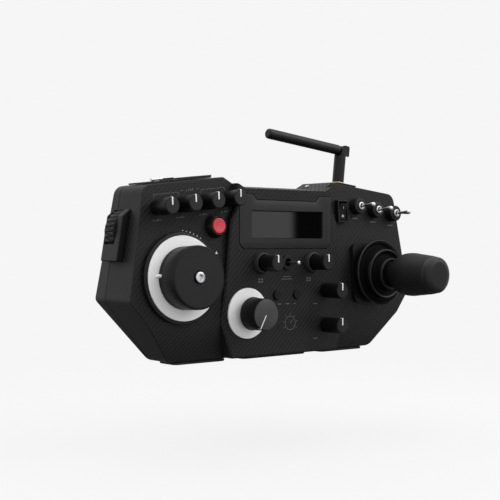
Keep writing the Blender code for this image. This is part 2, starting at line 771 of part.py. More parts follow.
def make_all():
    make_front_case()
    make_rear_case()
    make_battery()
    make_feet()
    make_screen()
    make_focus()
    make_iris()
    make_speed_controls()
    make_centre_controls()
    make_record_button()
    make_power_switch()
    for number, toggle in enumerate(TOGGLES, start=1):
        make_toggle(number, on_module(*toggle))
    make_joystick()
    make_side_wheel()
    make_antenna()
    make_top_plate()


make_all()
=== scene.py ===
"""The looks of a radio transmitter controller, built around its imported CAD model.

Shapes are in millimetres in a control's own frame: X to the right, Y up its panel and Z out of it.
"""

import json
import math

import bmesh
import bpy
from mathutils import Matrix, Vector

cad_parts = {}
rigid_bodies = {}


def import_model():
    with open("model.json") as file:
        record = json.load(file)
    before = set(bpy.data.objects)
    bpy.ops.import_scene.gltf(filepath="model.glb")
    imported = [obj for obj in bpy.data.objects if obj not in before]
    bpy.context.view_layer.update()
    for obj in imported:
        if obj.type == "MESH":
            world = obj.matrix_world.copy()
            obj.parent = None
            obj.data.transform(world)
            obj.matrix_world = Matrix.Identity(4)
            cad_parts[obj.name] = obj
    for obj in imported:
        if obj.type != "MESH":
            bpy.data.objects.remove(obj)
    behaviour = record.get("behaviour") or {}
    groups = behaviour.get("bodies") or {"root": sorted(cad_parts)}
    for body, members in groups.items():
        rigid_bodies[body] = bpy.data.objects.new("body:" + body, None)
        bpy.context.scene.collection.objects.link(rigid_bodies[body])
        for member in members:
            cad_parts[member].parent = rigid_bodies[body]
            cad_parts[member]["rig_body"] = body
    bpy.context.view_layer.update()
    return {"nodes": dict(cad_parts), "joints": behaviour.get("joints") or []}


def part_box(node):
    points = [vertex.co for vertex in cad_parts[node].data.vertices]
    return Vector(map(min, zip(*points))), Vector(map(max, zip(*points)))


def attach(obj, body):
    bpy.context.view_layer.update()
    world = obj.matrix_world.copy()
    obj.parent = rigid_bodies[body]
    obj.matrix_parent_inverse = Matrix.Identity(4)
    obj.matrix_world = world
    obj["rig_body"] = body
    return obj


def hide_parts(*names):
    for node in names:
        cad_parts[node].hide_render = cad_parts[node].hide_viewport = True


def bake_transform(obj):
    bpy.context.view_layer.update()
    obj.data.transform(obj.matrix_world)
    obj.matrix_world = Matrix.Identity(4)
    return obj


MM = 0.001
BACKGROUND = 0.92  # brightness of the studio's floor and walls
UNDERSIDE = 0.15  # brightness of what lights the object from below
ROUND = 96  # steps round a turned piece
INK = 0.07  # how far printed marks stand above their panel

# The case, as the CAD has it.
WIDEST_Z = 53.5
FACE_Y, BACK_Y = -30.0, 21.8  # the modules' face and the rear case's back, at the widest height
FACE_TILT, BACK_CHIN_TILT = math.radians(3.3), math.radians(14.3)
FACET_SLOPE = 28.4  # degrees
MAST_LIFT = 15.0  # height of the antenna's swivel joint over the module's top
STICK_PIVOT = 8.0  # depths and heights of pivots from their panel
TOGGLE_PIVOT = 8.5
SPEED_LABEL = -9.9  # Y of the speed controls' labels from their axes

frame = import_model()
joints = {joint["name"]: joint for joint in frame["joints"]}


# Materials


def add(tree, kind, inputs=(), **settings):
    """A shader node with its settings, and with each input set to a value or linked to a socket."""
    made = tree.nodes.new(kind)
    for key, value in settings.items():
        setattr(made, key, value)
    for key, value in dict(inputs).items():
        if isinstance(value, bpy.types.NodeSocket):
            tree.links.new(value, made.inputs[key])
        else:
            made.inputs[key].default_value = value
    return made


def calc(tree, operation, *values):
    return add(tree, "ShaderNodeMath", dict(enumerate(values)), operation=operation).outputs[0]


def choose(tree, factor, first, second):
    """first where factor is 0 and second where it is 1."""
    return add(tree, "ShaderNodeMix", {0: factor, 2: first, 3: second}).outputs[0]


def smooth_step(tree, value, first, last):
    """0 where value is first, rising smoothly to 1 where it is last."""
    inputs = {0: value, 1: first, 2: last}
    return add(tree, "ShaderNodeMapRange", inputs, interpolation_type="SMOOTHSTEP").outputs[0]


def blended_colour(tree, factor, first, second):
    inputs = {0: factor, 6: (*first, 1.0), 7: (*second, 1.0)}
    return add(tree, "ShaderNodeMix", inputs, data_type="RGBA").outputs[2]


def noise(tree, size, detail=2.0, stretch=(1.0, 1.0, 1.0)):
    """Noise whose features are about size millimetres across, longer along an axis with a small stretch."""
    place = add(tree, "ShaderNodeTexCoord").outputs["Object"]
    scaled = add(tree, "ShaderNodeMapping", {"Vector": place, "Scale": stretch}).outputs[0]
    inputs = {"Vector": scaled, "Scale": 1 / (size * MM), "Detail": detail}
    return add(tree, "ShaderNodeTexNoise", inputs).outputs[0]


def new_look(name, roughness, metallic=0.0, specular=0.5):
    look = bpy.data.materials.new(name)
    look.use_nodes = True
    shader = look.node_tree.nodes["Principled BSDF"]
    shader.inputs["Roughness"].default_value = roughness
    shader.inputs["Metallic"].default_value = metallic
    shader.inputs["Specular IOR Level"].default_value = specular
    return look, look.node_tree, shader.inputs


def set_bump(tree, inputs, height, depth):
    """Relief of depth millimetres from a height between 0 and 1."""
    bump = add(tree, "ShaderNodeBump", {"Height": height, "Distance": depth * MM})
    tree.links.new(bump.outputs[0], inputs["Normal"])


def moulded(name, colour, roughness, grain, depth, specular=0.35, variation=0.12):
    """Moulded plastic or rubber: a fine grain, cloudy gloss and slightly uneven colour."""
    look, tree, inputs = new_look(name, roughness, specular=specular)
    cloud = noise(tree, 14.0, 3.0)
    fine = noise(tree, grain, 3.0)
    darker = [part * (1 - variation) for part in colour]
    lighter = [part * (1 + variation) for part in colour]
    tree.links.new(blended_colour(tree, cloud, darker, lighter), inputs["Base Color"])
    gloss = calc(tree, "MULTIPLY_ADD", calc(tree, "ADD", cloud, fine), 0.12, roughness - 0.12)
    tree.links.new(gloss, inputs["Roughness"])
    set_bump(tree, inputs, fine, depth)
    return look


def turned_metal(name, colour, roughness):
    """Turned metal: fine tool marks and slightly uneven gloss."""
    look, tree, inputs = new_look(name, roughness, metallic=1.0)
    marks = noise(tree, 0.5, 4.0, (0.15, 1.0, 1.0))
    cloud = noise(tree, 4.0)
    darker = [part * 0.86 for part in colour]
    tree.links.new(blended_colour(tree, cloud, darker, colour), inputs["Base Color"])
    tree.links.new(calc(tree, "MULTIPLY_ADD", marks, 0.22, roughness - 0.1), inputs["Roughness"])
    set_bump(tree, inputs, marks, 0.012)
    return look


def panel_coordinates(tree):
    """Two coordinates in millimetres along whichever panel direction a surface mostly faces."""
    source = add(tree, "ShaderNodeTexCoord")
    x, y, z = add(tree, "ShaderNodeSeparateXYZ", {0: source.outputs["Object"]}).outputs
    normal = add(tree, "ShaderNodeSeparateXYZ", {0: source.outputs["Normal"]}).outputs
    steep = [calc(tree, "ABSOLUTE", part) for part in normal]
    is_front = calc(tree, "GREATER_THAN", steep[1], 0.6)
    is_side = calc(tree, "GREATER_THAN", steep[0], steep[2])
    across = choose(tree, is_front, choose(tree, is_side, x, y), x)
    up = choose(tree, is_front, choose(tree, is_side, y, z), z)
    return calc(tree, "DIVIDE", across, MM), calc(tree, "DIVIDE", up, MM)


def carbon_twill(name, tow=1.25):
    """2x2 twill carbon fibre under a satin coat: tows pass over two and under two, one step on each row.
    Its colour holds a painted sheen, with upright tows lighter than crossing ones, and painted shade that
    darkens each tow towards its edges.
    """
    look, tree, inputs = new_look(name, 0.42, specular=0.22)
    across, up = panel_coordinates(tree)
    column, row = calc(tree, "DIVIDE", across, tow), calc(tree, "DIVIDE", up, tow)
    step = calc(tree, "SUBTRACT", calc(tree, "FLOOR", column), calc(tree, "FLOOR", row))
    upright = calc(tree, "LESS_THAN", calc(tree, "FLOORED_MODULO", step, 4.0), 1.5)
    within = [calc(tree, "FRACT", column), calc(tree, "FRACT", row)]
    humps = []
    for part in within:
        off_centre = calc(tree, "SUBTRACT", part, 0.5)
        humps.append(calc(tree, "MULTIPLY_ADD", calc(tree, "MULTIPLY", off_centre, off_centre), -3.0, 1.0))
    height = choose(tree, upright, humps[1], humps[0])
    fibres = [noise(tree, 0.16, 2.0, (0.06, 1.0, 1.0)), noise(tree, 0.16, 2.0, (1.0, 1.0, 0.06))]
    streaks = choose(tree, upright, fibres[0], fibres[1])
    # Painted sheen and shade: upright tows are lighter than crossing ones, standing in for the fibres'
    # directional reflection. Fibre streaks are added, and each tow is darker towards its edges.
    weight = calc(tree, "MULTIPLY_ADD", upright, 0.45, calc(tree, "MULTIPLY", streaks, 0.4))
    sheen_and_crevice_shade = calc(tree, "MULTIPLY", weight, height)
    tone = blended_colour(tree, sheen_and_crevice_shade, (0.003, 0.003, 0.0032), (0.032, 0.032, 0.0325))
    tree.links.new(tone, inputs["Base Color"])
    gloss = calc(tree, "MULTIPLY_ADD", upright, 0.16, 0.36)
    tree.links.new(calc(tree, "MULTIPLY_ADD", noise(tree, 20.0), 0.1, gloss), inputs["Roughness"])
    set_bump(tree, inputs, height, 0.08)
    return look


def circuit_board(name):
    look, tree, inputs = new_look(name, 0.4)
    place = add(tree, "ShaderNodeTexCoord").outputs["Object"]
    cells = add(tree, "ShaderNodeTexVoronoi", {"Vector": place, "Scale": 260.0}, distance="MANHATTAN")
    lines = calc(tree, "LESS_THAN", cells.outputs["Distance"], 0.25)
    tree.links.new(blended_colour(tree, lines, (0.01, 0.1, 0.04), (0.03, 0.22, 0.09)), inputs["Base Color"])
    set_bump(tree, inputs, lines, 0.03)
    return look


def dark_glass(name):
    """A display's front glass over a black panel, with a faint grid of dots in its gloss."""
    look, tree, inputs = new_look(name, 0.03, specular=0.62)
    across, up = panel_coordinates(tree)
    rows = calc(tree, "SINE", calc(tree, "MULTIPLY", up, 2 * math.pi / 0.32))
    columns = calc(tree, "SINE", calc(tree, "MULTIPLY", across, 2 * math.pi / 0.32))
    dots = calc(tree, "MULTIPLY_ADD", calc(tree, "MULTIPLY", rows, columns), 0.5, 0.5)
    tone = blended_colour(tree, dots, (0.0008, 0.0008, 0.001), (0.0016, 0.0016, 0.002))
    tree.links.new(tone, inputs["Base Color"])
    tree.links.new(calc(tree, "MULTIPLY_ADD", noise(tree, 9.0), 0.02, 0.02), inputs["Roughness"])
    return look


CARBON = carbon_twill("carbon_twill")
REAR = moulded("rear_plastic", (0.012, 0.012, 0.0125), 0.5, 0.5, 0.03, specular=0.3)
BEZEL = moulded("bezel_plastic", (0.016, 0.016, 0.0165), 0.42, 0.25, 0.008, specular=0.3)
COLLAR = moulded("collar_plastic", (0.024, 0.024, 0.025), 0.4, 0.25, 0.01)
BLACK = moulded("black_plastic", (0.006, 0.006, 0.0063), 0.45, 0.3, 0.012, specular=0.28)
KNOB = moulded("knob_plastic", (0.004, 0.004, 0.0042), 0.42, 0.25, 0.01, specular=0.22)
CAP = moulded("knob_cap_plastic", (0.01, 0.01, 0.0105), 0.45, 0.25, 0.01, specular=0.28)
DARK_CAP = moulded("focus_cap_plastic", (0.009, 0.009, 0.0095), 0.42, 0.25, 0.01, specular=0.25)
PALE_CAP = moulded("iris_cap_plastic", (0.045, 0.045, 0.046), 0.42, 0.25, 0.008)
GRIP = moulded("soft_grip", (0.006, 0.006, 0.0063), 0.6, 0.3, 0.02, specular=0.28)
# The boot's rubber is painted darker than its own black as painted shade in its folds; the lip material is
# painted lighter as a painted highlight on each fold's edge.
BOOT_SHADED = moulded("boot_rubber", (0.0015, 0.0015, 0.0015), 0.7, 0.4, 0.02, specular=0.08)
BOOT_HIGHLIGHT = moulded("boot_lip_painted_highlight", (0.012, 0.012, 0.012), 0.5, 0.4, 0.02)
FOOT = moulded("foot_rubber", (0.012, 0.012, 0.012), 0.8, 0.6, 0.06)
WHITE = moulded("white_disc", (0.93, 0.93, 0.93), 0.55, 0.3, 0.006, variation=0.01)
WHITE_INK = moulded("white_ink", (0.85, 0.85, 0.84), 0.6, 0.2, 0.004, variation=0.03)
GREY_INK = moulded("grey_ink", (0.1, 0.1, 0.1), 0.6, 0.2, 0.004)
RED = moulded("red_plastic", (0.72, 0.05, 0.075), 0.35, 0.3, 0.006, specular=0.45, variation=0.05)
METAL = turned_metal("bare_metal", (0.72, 0.72, 0.74), 0.28)
BRASS = turned_metal("turned_brass", (0.72, 0.6, 0.34), 0.3)
BOARD = circuit_board("board_green")
WRAP = moulded("battery_wrap", (0.05, 0.07, 0.12), 0.35, 1.2, 0.05)
GLASS = dark_glass("display_glass")


# Frames


def facing(origin, outward):
    """A control's frame in metres: local Z is outward, and local X is level and to the right."""
    out = Vector(outward).normalized()
    up = out.cross(Vector((1, 0, 0))).normalized()
    right = up.cross(out)
    return Matrix.Translation(Vector(origin)) @ Matrix((right, up, out)).transposed().to_4x4()


def on_module(x, z):
    """The point of the modules' tilted face at this X and Z, in metres."""
    return Vector((x, FACE_Y + (z - WIDEST_Z) * math.tan(FACE_TILT), z)) * MM


def at_joint(name, lift=0.0):
    """The frame at a joint whose axis is square to its panel, lifted out of it by so many millimetres."""
    axis = Vector(joints[name]["axis"])
    out = axis if axis.y < 0 else -axis
    return facing(joints[name]["pos_m"], out) @ Matrix.Translation((0, 0, lift * MM))


def at_node(name, outward, height=0.0):
    """The frame at a round CAD piece, whose middle is height millimetres out of its panel."""
    low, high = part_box(name)
    out = Vector(outward)
    return facing((low + high) / 2 - out * height * MM, out)


def on_top(origin, outward):
    """A frame on a module's sloping top: local Z is outward, and local X points right."""
    out = Vector(outward)
    back = Vector((0, 1, 0))
    return Matrix.Translation(Vector(origin)) @ Matrix((back.cross(out), back, out)).transposed().to_4x4()


def shifted(place, x, y, z=0.0):
    return place @ Matrix.Translation((x * MM, y * MM, z * MM))


def turned_by(place, degrees, axis="Z"):
    return place @ Matrix.Rotation(math.radians(degrees), 4, axis)


# Pieces


def shade(data, angle):
    data.shade_smooth()
    data.set_sharp_from_angle(angle=math.radians(angle))


def finish(name, mesh, place, look, body, replaced=(), angle=32):
    """A piece from a mesh in millimetres, placed in metres, riding on a body."""
    bmesh.ops.recalc_face_normals(mesh, faces=mesh.faces)
    mesh.transform(place @ Matrix.Scale(MM, 4))
    data = bpy.data.meshes.new(name)
    mesh.to_mesh(data)
    mesh.free()
    shade(data, angle)
    data.materials.append(look)
    obj = bpy.data.objects.new(name, data)
    bpy.context.scene.collection.objects.link(obj)
    if body:
        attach(obj, body)
    if replaced:
        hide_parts(*replaced)
    return obj


def turned_mesh(profile, steps=ROUND, flutes=0, closed=False):
    """A profile of (radius, height) or (radius, height, flute depth) turned about Z, top first."""
    mesh = bmesh.new()
    rings = []
    for radius, height, *depth in profile:
        if radius == 0:
            rings.append([mesh.verts.new((0, 0, height))])
            continue
        ring = []
        for i in range(steps):
            angle = 2 * math.pi * i / steps
            dip = 0.0
            if flutes and depth:
                wave = math.cos(angle * flutes)
                dip = depth[0] * min(1.0, max(0.0, 0.5 + 1.4 * wave))
            reach = radius - dip
            ring.append(mesh.verts.new((reach * math.cos(angle), reach * math.sin(angle), height)))
        rings.append(ring)
    pairs = list(zip(rings, rings[1:]))
    if closed:
        pairs.append((rings[-1], rings[0]))
    for first, second in pairs:
        for i in range(steps):
            j = (i + 1) % steps
            corners = [first[i % len(first)], first[j % len(first)]]
            corners += [second[j % len(second)], second[i % len(second)]]
            mesh.faces.new(list(dict.fromkeys(corners)))
    return mesh


def turned(name, place, profile, look, body, replaced=(), steps=ROUND, flutes=0, closed=False):
    mesh = turned_mesh(profile, steps, flutes, closed=closed)
    return finish(name, mesh, place, look, body, replaced)


def arc(centre, radius, first, last, segments=4):
    """Points on an arc in the plane of a profile or an outline, from one angle in degrees to another."""
    points = []
    for i in range(segments + 1):
        angle = math.radians(first + (last - first) * i / segments)
        points.append((centre[0] + radius * math.cos(angle), centre[1] + radius * math.sin(angle)))
    return points


def prism_mesh(outline):
    """An outline raised from just under a panel to just over it, as a printed mark."""
    mesh = bmesh.new()
    base = mesh.faces.new([mesh.verts.new((x, y, -INK)) for x, y in outline])
    raised = bmesh.ops.extrude_face_region(mesh, geom=[base])
    for item in raised["geom"]:
        if isinstance(item, bmesh.types.BMVert):
            item.co.z = INK
    return mesh


def bar(mesh, start, end, width):
    """Adds a printed line from start to end, as a low raised strip."""
    along = (Vector(end) - Vector(start)).normalized() * width / 2
    side = Vector((-along.y, along.x))
    corners = [Vector(start) + side, Vector(end) + side, Vector(end) - side, Vector(start) - side]
    merge(mesh, prism_mesh(corners))


def merge(mesh, other):
    """Adds another mesh, and frees it."""
    data = bpy.data.meshes.new("merged")
    other.to_mesh(data)
    other.free()
    mesh.from_mesh(data)
    bpy.data.meshes.remove(data)


def refined(node, look, edge, segments=2, angle=30):
    """A finer piece in place of a CAD node: its facets made whole again and its edges rounded."""
    source = frame["nodes"][node]
    mesh = bmesh.new()
    mesh.from_mesh(source.data)
    bmesh.ops.remove_doubles(mesh, verts=mesh.verts, dist=2e-6)
    everything = {"verts": mesh.verts, "edges": mesh.edges}
    bmesh.ops.dissolve_limit(mesh, angle_limit=math.radians(0.6), **everything)
    data = bpy.data.meshes.new(node + "_surface")
    mesh.to_mesh(data)
    mesh.free()
    data.materials.clear()
    data.materials.append(look)
    obj = bpy.data.objects.new(node + "_surface", data)
    bpy.context.scene.collection.objects.link(obj)
    rounding = obj.modifiers.new("Edges", "BEVEL")
    rounding.width = edge * MM
    rounding.segments = segments
    rounding.limit_method = "ANGLE"
    rounding.angle_limit = math.radians(angle)
    bpy.context.view_layer.update()
    evaluated = obj.evaluated_get(bpy.context.evaluated_depsgraph_get())
    final = bpy.data.meshes.new_from_object(evaluated)
    obj.modifiers.clear()
    obj.data = final
    shade(obj.data, 38)
    weighted = obj.modifiers.new("Normals", "WEIGHTED_NORMAL")
    weighted.keep_sharp = True
    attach(obj, source["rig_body"])
    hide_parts(node)
    return obj


def repaint(node, look):
    """A CAD node keeps its shape and gets its finished material."""
    data = frame["nodes"][node].data
    data.materials.clear()
    data.materials.append(look)


# The case


def make_case():
    refined("front_case", CARBON, edge=0.35, angle=25)
    refined("rear_case", REAR, edge=0.4, angle=25)
    refined("battery_door", REAR, edge=0.4)
    for side in ("left", "centre", "right"):
        refined(f"foot_{side}", FOOT, edge=0.4)
    refined("left_top_plate", BLACK, edge=0.35)
    refined("antenna_bracket", BLACK, edge=0.35)
    refined("side_wheel_guard", BLACK, edge=0.3)
    repaint("main_board", BOARD)
    repaint("speed_pot_board", BOARD)
    repaint("control_board", BOARD)
    repaint("battery_pack", WRAP)
    repaint("display_module", BLACK)
    for node in ("focus_sensor", "iris_sensor", "side_wheel_pot"):
        repaint(node, METAL)


def screw_head(name, place, radius, look=METAL):
    """A socket cap screw: a rounded head with a round recess."""
    rim = radius * 0.82
    profile = [(radius * 0.5, 0.45 * radius), (rim, 0.55 * radius), (radius, 0.38 * radius), (radius, -0.3)]
    mesh = turned_mesh([(0, -0.3), *reversed(profile), (radius * 0.46, 0.1), (0, 0.1)], 48)
    return finish(name, mesh, place, look, "case")


def make_case_screws():
    for name, side in (("facet_screw_left", -1), ("facet_screw_right", 1)):
        place = Matrix.Translation(Vector((side * 57.5, 2.5, 151.21)) * MM)
        screw_head(name, turned_by(place, -FACET_SLOPE * side, "Y"), 1.9)
    for i, (x, z) in enumerate(((-130, 64), (130, 64), (-104, 22), (104, 22), (-118, 130), (118, 130))):
        tilt = FACE_TILT if z > WIDEST_Z else -BACK_CHIN_TILT
        y = BACK_Y - (z - WIDEST_Z) * math.tan(tilt)
        place = facing((x * MM, y * MM, z * MM), (0, math.cos(tilt), math.sin(tilt)))
        screw_head(f"rear_screw_{i + 1}", place, 2.6, BLACK)


# The screen


def make_screen():
    refined("screen_bezel", BEZEL, edge=0.25)
    refined("screen_glass", GLASS, edge=0.15)


# Knobs


def knob_profile(radius, bottom, top, edge=0.7, hollow=2.5):
    """A plain knob from its underside up its side to the middle of its cap."""
    inner = radius - hollow
    side = [(inner, bottom + 1.0), (inner, bottom), *arc((radius - 0.3, bottom + 0.3), 0.3, -90, 0, 2)]
    return [(0, bottom + 1.0), *side, *arc((radius - edge, top - edge), edge, 0, 90), (0, top)]


def index_line(name, place, radius, top, width, body, down=2.2):
    """A white line from the middle of a knob's cap over its rim and a little way down its side."""
    edge = 0.7
    path = [(0.6, top), *[(r, z) for r, z in reversed(arc((radius - edge, top - edge), edge, 0, 90))]]
    path.append((radius, top - edge - down))
    mesh = bmesh.new()
    rows = []
    for i, (r, z) in enumerate(path):
        before, after = path[max(0, i - 1)], path[min(len(path) - 1, i + 1)]
        along = (Vector(after) - Vector(before)).normalized()
        out = Vector((-along.y, along.x)) * INK
        row = []
        for x, lift in ((-width / 2, -1), (-width / 2, 1), (width / 2, 1), (width / 2, -1)):
            row.append(mesh.verts.new((x, r + out.x * lift, z + out.y * lift)))
        rows.append(row)
    for first, second in zip(rows, rows[1:]):
        for i in range(4):
            j = (i + 1) % 4
            mesh.faces.new((first[i], first[j], second[j], second[i]))
    mesh.faces.new(rows[0])
    mesh.faces.new(rows[-1])
    finish(name, mesh, place, WHITE_INK, body)


def small_knob(body, place, bottom, top):
    radius = 6.8
    turned(body + "_body", place, knob_profile(radius, bottom, top), KNOB, body, [body])
    cap = [(0, top - 0.2), (radius - 0.9, top - 0.2), (radius - 0.9, top + 0.04), (0, top + 0.04)]
    turned(body + "_cap", place, cap, CAP, body)
    index_line(body + "_line", place, radius, top + 0.05, 1.25, body)


def make_small_knobs():
    for number in (1, 2, 3, 4):
        place = at_joint(f"speed_{number}_turn")
        small_knob(f"speed_knob_{number}", place, 5.2, 22.0)
        nut = [(2.6, 0.2), (6.0, 0.2), (6.0, 4.4), (5.7, 4.8), (2.6, 4.8)]
        turned(f"speed_nut_{number}", place, nut, KNOB, "case", steps=48, closed=True)
    for side in ("left", "right"):
        small_knob(f"menu_knob_{side}", at_joint(f"menu_{side}_turn"), 1.2, 22.3)
        collar = [(7.4, 0.3), (9.4, 0.3), (9.4, 1.6), *arc((8.1, 4.6), 0.4, 10, 90, 3)]
        collar += [(7.5, 5.0), (7.4, 4.9)]
        place = at_joint(f"menu_{side}_turn")
        name = f"menu_collar_{side}"
        turned(name + "_rim", place, collar, COLLAR, "case", [name], closed=True)
    for side in ("upper", "lower"):
        small_knob(f"adjust_knob_{side}", at_joint(f"adjust_{side}_turn"), 1.2, 22.3)


def make_focus():
    place = at_joint("focus_turn")
    drum = [(12, 0.3), *arc((36.8, 0.7), 0.4, -90, 0, 2), *arc((36.6, 3.4), 0.6, 0, 90, 3), (12, 4.0)]
    turned("focus_drum_body", place, drum, BLACK, "case", ["focus_drum"], closed=True)
    disc = [(12, 4.3), (34.3, 4.3), *arc((34.0, 5.3), 0.3, 0, 90, 3), (12, 5.6)]
    names = ["focus_marking_ring"]
    turned("focus_disc", place, disc, WHITE, "case", names, 160, closed=True)
    wheel = [
        (0, 18.5),
        (3.4, 18.5),
        (3.4, 10.5),
        (6.6, 10.5),
        (6.6, 6.2),
        (23.0, 6.2),
        *arc((25.0, 6.6), 0.4, -90, 0, 2),
        (25.4, 7.2, 0.22),
        (25.4, 12.2, 0.22),
        (25.4, 12.6),
        *arc((24.4, 24.6), 1.0, 0, 90, 5),
        (23.6, 25.6),
        (5.6, 25.6),
        (5.3, 25.2),
        (5.3, 24.4),
        (0, 24.4),
    ]
    turned("focus_wheel", place, wheel, KNOB, "focus_knob", ["focus_knob"], 480, 120)
    cap = [(5.8, 25.5), (23.4, 25.5), (23.4, 25.66), (5.8, 25.66)]
    turned("focus_wheel_cap", place, cap, DARK_CAP, "focus_knob", closed=True)
    screw = [
        (0, 24.8),
        *arc((4.1, 25.2), 0.4, -90, 0, 2),
        *arc((3.8, 26.9), 0.7, 0, 90, 4),
        (2.5, 27.7),
        (2.2, 27.4),
        (2.2, 25.8),
        (0, 25.8),
    ]
    names = ["focus_knob_screw"]
    turned("focus_screw", place, screw, METAL, "focus_knob", names, steps=48)
    pointer = [(0, 0), (1.4, 0), (1.4, 2.6), (0.7, 4.4), (0, 4.4)]
    side = shifted(place, -25.2, 2.2, 9.0) @ Matrix.Rotation(-math.pi / 2, 4, "Y")
    turned("focus_pointer", side, pointer, WHITE, "focus_knob", steps=24)


def make_focus_marks():
    """Dots that grow around the top of the marking ring, and a triangle that points at it."""
    place = at_joint("focus_turn")
    marks = bmesh.new()
    mark_radius = 38.8
    for i in range(6):
        angle = math.radians(84 - 5.6 * i)
        size = 0.36 + 0.04 * i
        centre = Vector((math.cos(angle), math.sin(angle))) * mark_radius
        dot = arc(centre, size, 0, 330, 11)
        merge(marks, prism_mesh(dot))
    angle = math.radians(28)
    mark_radius += 3.6
    out = Vector((math.cos(angle), math.sin(angle)))
    side = Vector((-out.y, out.x))
    base = out * (mark_radius + 1.3)
    corners = [out * (mark_radius - 0.9), base + side * 1.3, base - side * 1.3]
    merge(marks, prism_mesh(corners))
    finish("focus_marks", marks, place, WHITE_INK, "case")


def make_iris():
    place = at_joint("iris_turn")
    disc = [(6.5, 0.3), (21.2, 0.3), *arc((20.9, 1.4), 0.3, 0, 90, 3), (6.5, 1.7)]
    names = ["iris_marking_ring"]
    turned("iris_disc", place, disc, WHITE, "case", names, 128, closed=True)
    top = 25.0
    body = [(0, 7.4), *arc((13.6, 7.7), 0.3, -90, 0, 2), (13.9, 8.8)]
    body += [(13.4, 9.4), (13.2, 23.9), *arc((12.3, top - 0.9), 0.9, 0, 90), (0, top)]
    turned("iris_wheel", place, body, KNOB, "iris_knob", ["iris_knob"])
    cap = [(0, top - 0.2), (12.5, top - 0.2), (12.6, top - 0.05), (12.4, top + 0.06), (0, top + 0.06)]
    turned("iris_cap", place, cap, PALE_CAP, "iris_knob")
    index_line("iris_line", turned_by(place, 151), 13.2, top + 0.06, 0.8, "iris_knob", 2.6)


# Buttons and switches


def make_buttons():
    module_out = joints["focus_turn"]["axis"]
    place = facing(on_module(-74.4, 113.3), module_out)
    housing = [(0, -9.5), (6.9, -9.5), (6.9, 6.2), *arc((7.5, 6.2), 0.6, 180, 20, 5), (8.3, 6.0)]
    housing += [(9.8, 1.6), (9.8, 0.3), (8, 0.3), (8, -11.5), (0, -11.5)]
    name = "record_button_housing"
    turned("record_cup", place, housing, BLACK, "case", [name])
    cap = [(0, -6.5), (6.5, -6.5), *arc((5.7, 6.2), 0.8, 0, 90), (4.2, 6.95), (2.4, 6.65), (0, 6.5)]
    turned("record_cap", place, cap, RED, "record_button", ["record_button"])
    for side in ("left", "right"):
        name = f"select_button_{side}"
        place = at_node(name, (0, -1, 0), -3.3)
        button = [(0, -8.4), (5, -8.4), (5, -6.4), (4, -6.4), *arc((3.5, 1.3), 0.5, 0, 90)]
        button += [(2.6, 1.7), (0, 1.55)]
        turned(name + "_cap", place, button, KNOB, name, [name], 64)


def make_rocker():
    refined("power_switch_frame", BLACK, edge=0.35)
    refined("power_switch_rocker", KNOB, edge=0.5, segments=3)
    pivot = at_joint_face("power_rock")
    marks = bmesh.new()
    bar(marks, (0, -0.9), (0, 0.9), 0.4)
    lean = math.atan2(4.2 - 2.9, 7.4)
    upper = turned_by(pivot, 10, "X") @ Matrix.Translation((0, 3.8 * MM, 3.57 * MM))
    upper = turned_by(upper, math.degrees(lean), "X")
    finish("power_on_mark", marks, upper, WHITE_INK, "power_switch_rocker")
    ring = turned_mesh([(0.7, -INK), (1.1, -INK), (1.1, INK), (0.7, INK)], 32, closed=True)
    lower = turned_by(pivot, 10, "X") @ Matrix.Translation((0, -3.8 * MM, 3.57 * MM))
    lower = turned_by(lower, -math.degrees(lean), "X")
    finish("power_off_mark", ring, lower, WHITE_INK, "power_switch_rocker")


def at_joint_face(name):
    """The frame of the tilted module panel at a joint that lies along X."""
    return facing(joints[name]["pos_m"], joints["focus_turn"]["axis"])


def make_toggles():
    for number in (1, 2, 3):
        place = at_joint_face(f"toggle_{number}_flip")
        panel = shifted(place, 0, 0, -TOGGLE_PIVOT)
        name = f"toggle_switch_{number}"
        nut = [(3.7, 0.3), (7.4, 0.3), (7.4, 0.8, 0.25), (7.4, 6.2, 0.25), (7.2, 7.0)]
        nut += [*arc((6.6, 7.3), 0.6, 20, 90, 3), (3.7, 8.0)]
        turned(name + "_nut", panel, nut, BLACK, "case", [name], 160, 40, closed=True)
        bush = [(1.9, 7.8), (3.6, 7.8), (3.6, 8.8), *arc((3.2, 8.9), 0.4, 0, 90, 3), (2.2, 9.3), (1.9, 9.1)]
        turned(name + "_bush", panel, bush, METAL, "case", steps=64, closed=True)
        lever = [(0, -1.5), (1.2, -1.5), (1.2, 4.0), (1.5, 9.0), (2.0, 12.6)]
        lever += [*arc((0.3, 14.9), 1.9, 0, 90, 6), (0, 16.8)]
        body = f"toggle_lever_{number}"
        turned(body + "_bat", place, lever, METAL, body, [body], 48)


def make_menu_lever():
    refined("menu_lever_socket", BLACK, edge=0.2)
    place = facing(joints["menu_lever_tilt"]["pos_m"], (0, -1, 0))
    lever = [(0, -6), (1.5, -5.5), (2.2, -3), (1.5, -2), (1.2, 6), (1.25, 15), (1.7, 17.2)]
    lever += [*arc((0.7, 18.4), 1.0, 0, 90, 4), (0, 19.5)]
    turned("menu_lever_rod", place, lever, METAL, "menu_lever", ["menu_lever"], 48)


# The joystick


def thick_profile(line, thickness):
    """A closed profile around a line of (radius, height), moved to its inner side by thickness."""
    inner = []
    for i, point in enumerate(line):
        before, after = Vector(line[max(0, i - 1)]), Vector(line[min(len(line) - 1, i + 1)])
        along = (after - before).normalized()
        inner.append(tuple(Vector(point) + Vector((-along.y, along.x)) * thickness))
    return line + inner[::-1]


def smooth_line(points, per_span=4):
    """A Catmull-Rom curve through the points."""
    line = []
    for i in range(len(points) - 1):
        around = [Vector(points[min(max(i + k, 0), len(points) - 1)]) for k in (-1, 0, 1, 2)]
        for step in range(per_span):
            t = step / per_span
            before, start, end, after = around
            line.append(tuple(0.5 * (
                2 * start + (end - before) * t + (2 * before - 5 * start + 4 * end - after) * t * t
                + (3 * start - before - 3 * end + after) * t * t * t
            )))
    return line + [tuple(points[-1])]


BOOT_HIGHLIGHT_RINGS = ((29.6, 12.0), (22.0, 19.6), (14.0, 26.3))  # radius and height of each fold's edge, where the painted highlight goes
